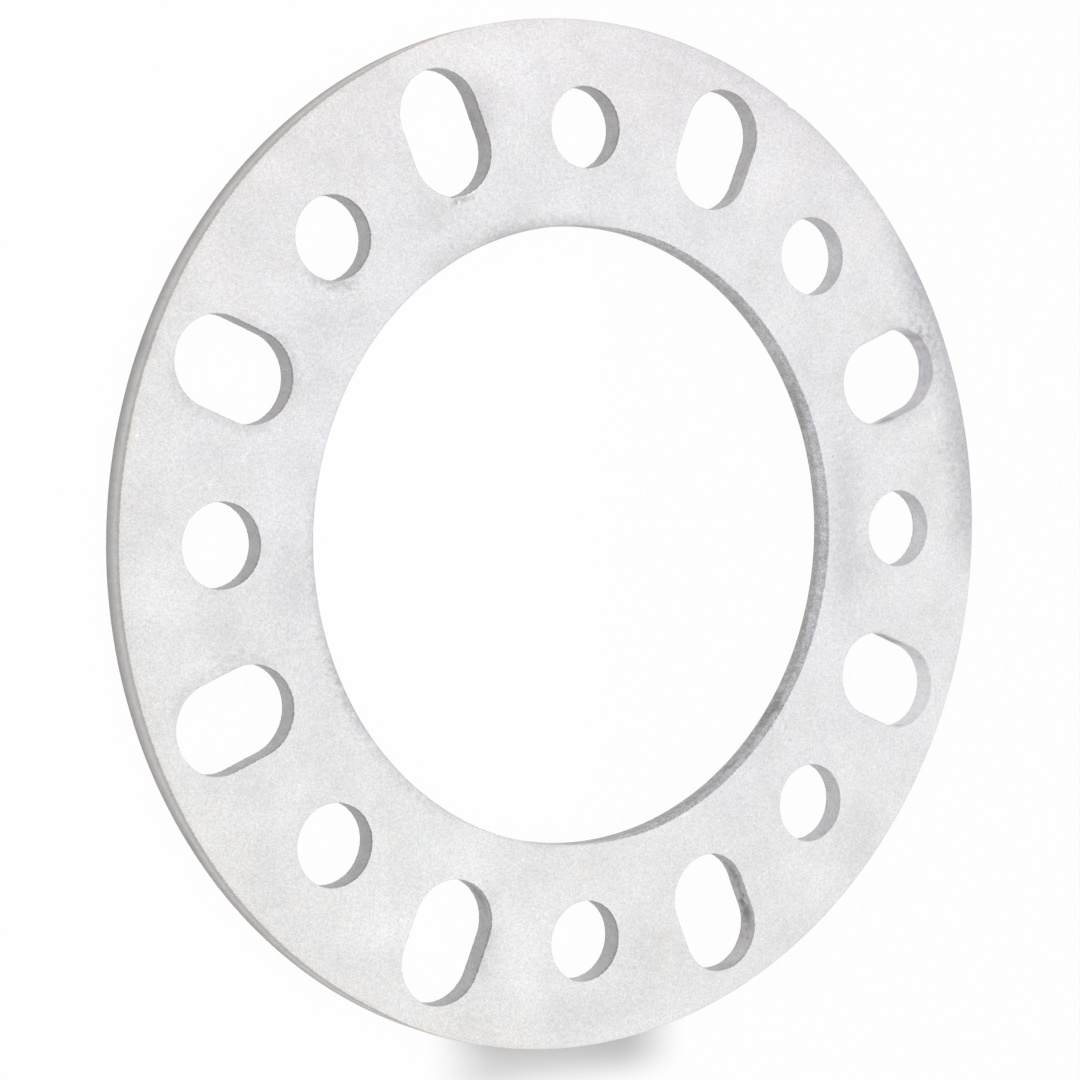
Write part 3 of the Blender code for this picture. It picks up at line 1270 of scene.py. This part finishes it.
    def stained(self, colour: Socket) -> Socket:
        """Lay the marks and the edge stains over the colour.

        Args:
            colour: The clean colour.

        Returns:
            The stained colour.
        """
        finish = self.finish
        shares = dict.fromkeys(Stain, 0.0)
        mark_group = BlastedLook.mark()
        for stain in Stain:
            for mark in getattr(finish, stain.name.lower()):
                mask = self.mark_mask(mark_group, mark)
                shares[stain] = self.math("MULTIPLY_ADD", mask, mark.strength, shares[stain])
        stain_group = BlastedLook.edge_stain()
        for edge_stain in finish.edge_stains:
            mask = self.group(
                stain_group,
                Place=self.place,
                Centre=Vector(edge_stain.at) * MM,
                Window=edge_stain.window * MM,
                Gap=self.gap[edge_stain.edge],
                Width=edge_stain.width * MM,
                Spots=self.spots,
                Unevenness=edge_stain.unevenness,
            )[0]
            stain = edge_stain.stain
            shares[stain] = self.math("MULTIPLY_ADD", mask, edge_stain.strength, shares[stain])
        for stain, share in shares.items():
            colour = self.mix(self.math("MINIMUM", share, finish.thickest), colour, stain.value)
        return colour

    def mark_mask(self, group: bpy.types.NodeTree, mark: Mark) -> Socket:
        """Place one mark.

        Args:
            group: The marks' group.
            mark: The mark.

        Returns:
            The mark's mask.
        """
        place, centre = self.place, Vector(mark.at) * MM
        if mark.turn:
            centre.rotate(Matrix.Rotation(-mark.turn, 3, "Z"))
            values = {"Vector": place, "Angle": -mark.turn}
            place = self.node("ShaderNodeVectorRotate", values, rotation_type="Z_AXIS").outputs[0]
        oval = {"Place": place, "Centre": centre, "Reach": Vector(mark.reach) * MM}
        return self.group(group, Spots=self.spots, Unevenness=mark.unevenness, **oval)[0]

    def scratch_mask(self) -> Socket:
        """Find the fine scratches.

        Returns:
            How strongly each point is scratched.
        """
        scratch_group = BlastedLook.scratch()
        broken = self.ramp(self.flecks, *self.finish.scratch_breaks)
        total = 0.0
        for scratch in self.finish.scratches:
            mask = self.group(
                scratch_group,
                Place=self.place,
                Start=(*scratch.start, 0.0),
                End=(*scratch.end, 0.0),
                Width=scratch.width,
                Bow=scratch.bow,
                Broken=broken,
            )[0]
            total = self.most(mask, total)
        return total


@dataclass(frozen=True)
class Softbox:
    """A square soft lamp: its place and side in metres, and the brightness of its front."""

    name: str
    at: Place
    side: float
    brightness: float

    def build(self) -> None:
        """Hang the lamp, turned to the ring."""
        data = bpy.data.lights.new(self.name, "AREA")
        data.shape = "SQUARE"
        data.size = self.side
        data.energy = self.brightness * math.pi * self.side**2
        lamp = bpy.data.objects.new(self.name, data)
        lamp.location = self.at
        lamp.rotation_euler = Vector(self.at).to_track_quat("Z", "Y").to_euler()
        bpy.context.scene.collection.objects.link(lamp)


@dataclass
class Studio:
    """The white table, the soft lamps and the photograph's camera."""

    camera_at: Place = (-0.3391, 0.0231, 0.5015)
    camera_aim: Place = (-0.0111, -0.0005, 0.0050)
    lens_mm: float = 98.95
    sensor_mm: float = 36.0
    sight: Spot = (0.01, 100.0)
    table_half: float = 20.0
    table_drop: float = 0.02 * MM
    table_bounce: float = 0.69
    # Painted shadow: darker paper in a window below the ring, laid over the shadow that the ring
    # casts
    shadow_paper: Colour = (0.70, 0.703, 0.706, 1.0)
    shadow_paper_east: Colour = (0.565, 0.567, 0.57, 1.0)
    shadow_share: float = 0.03
    shadow_middle: float = -3.0 * MM
    shadow_sides: Pair = mm(14.0, 33.0)
    shadow_evening: Pair = mm(-8.0, 22.0)
    shadow_near: Pair = mm(94.0, 100.0)
    shadow_far: Pair = mm(106.7, 115.5)
    world_strength: float = 0.90
    softboxes: tuple[Softbox, ...] = (
        Softbox("east_softbox", (0.9, 0.0, 1.3), 1.2, 0.24),
        Softbox("top_softbox", (0.0, 1.2, 1.1), 1.3, 0.50),
        Softbox("low_softbox", (0.0, -1.2, 1.1), 1.4, 0.43),
    )

    def table(self) -> bpy.types.Object:
        """Make the table top.

        Returns:
            The table's object.
        """
        mesh = bmesh.new()
        bmesh.ops.create_grid(mesh, x_segments=1, y_segments=1, size=self.table_half)
        bmesh.ops.translate(mesh, verts=mesh.verts, vec=(0.0, 0.0, -self.table_drop))
        data = bpy.data.meshes.new("table_top")
        mesh.to_mesh(data)
        mesh.free()
        data.materials.append(self.table_material())
        table = bpy.data.objects.new("table_top", data)
        bpy.context.scene.collection.objects.link(table)
        return table

    def table_material(self) -> bpy.types.Material:
        """Make white paper: pure white to the eye, with the ring's cast shadow kept faintly on it,
        and darker paper in a window below the ring, a painted shadow over the cast one.

        Returns:
            The table's material.
        """
        made = bpy.data.materials.new("white_table")
        made.use_nodes = True
        tree = Tree(made.node_tree)
        tree.tree.nodes.clear()
        path = tree.node("ShaderNodeLightPath").outputs
        seen = tree.most(path["Is Camera Ray"], path["Is Glossy Ray"], path["Is Transmission Ray"])
        x, y, _ = tree.parts(tree.node("ShaderNodeTexCoord").outputs["Object"])
        side = tree.math("ABSOLUTE", tree.math("SUBTRACT", x, self.shadow_middle))
        south = tree.times(y, -1.0)
        near = tree.times(
            tree.fade(side, *self.shadow_sides),
            tree.ramp(south, *self.shadow_near),
            tree.fade(south, *self.shadow_far),
        )
        share = tree.blend(near, self.shadow_share, 1.0)
        grey = (*[self.table_bounce] * 3, 1.0)
        bounce = tree.node("ShaderNodeBsdfDiffuse", {"Color": grey}).outputs[0]
        # The window's darker paper paints the shadow, over the one that the ring casts.
        east = tree.ramp(x, *self.shadow_evening)
        tone = tree.mix(east, self.shadow_paper, self.shadow_paper_east)
        paper = tree.node("ShaderNodeBsdfDiffuse", {"Color": tone}).outputs[0]
        glow = tree.node("ShaderNodeEmission", {"Strength": 1.0}).outputs[0]
        white = tree.node("ShaderNodeMixShader", {0: share, 1: glow, 2: paper}).outputs[0]
        both = tree.node("ShaderNodeMixShader", {0: seen, 1: bounce, 2: white}).outputs[0]
        tree.node("ShaderNodeOutputMaterial", {"Surface": both})
        return made

    def sky(self) -> None:
        """Give the world an even soft light."""
        world = bpy.data.worlds.new("studio")
        world.use_nodes = True
        background = world.node_tree.nodes["Background"]
        background.inputs["Color"].default_value = (1.0, 1.0, 1.0, 1.0)
        background.inputs["Strength"].default_value = self.world_strength
        bpy.context.scene.world = world

    def camera(self) -> None:
        """Put the camera where the photograph was taken, with +Y up in the picture."""
        data = bpy.data.cameras.new("photo_camera")
        data.lens = self.lens_mm
        data.sensor_width = self.sensor_mm
        data.clip_start, data.clip_end = self.sight
        camera = bpy.data.objects.new("photo_camera", data)
        back = (Vector(self.camera_at) - Vector(self.camera_aim)).normalized()
        right = Vector((0.0, 1.0, 0.0)).cross(back).normalized()
        turn = Matrix((right, back.cross(right), back)).transposed().to_4x4()
        camera.matrix_world = Matrix.Translation(self.camera_at) @ turn
        bpy.context.scene.collection.objects.link(camera)
        bpy.context.scene.camera = camera

    def build(self) -> None:
        """Set the whole stage."""
        self.table()
        self.sky()
        for softbox in self.softboxes:
            softbox.build()
        self.camera()
        bpy.context.scene.view_settings.view_transform = "Standard"


def main() -> None:
    """Build the ring and the studio round it."""
    logging.basicConfig(level=logging.INFO, format="%(name)s: %(message)s")
    low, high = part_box(NODE)
    plan = RingPlan(outer_radius=high[0], thickness=high[2] - low[2])
    ring = SpacerRing(plan).build(BlastedAluminium(plan).material())
    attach(ring, BODY)
    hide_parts(NODE)
    log.info("built %s with %d faces", ring.name, len(ring.data.polygons))
    Studio().build()


if __name__ == "__main__":
    main()
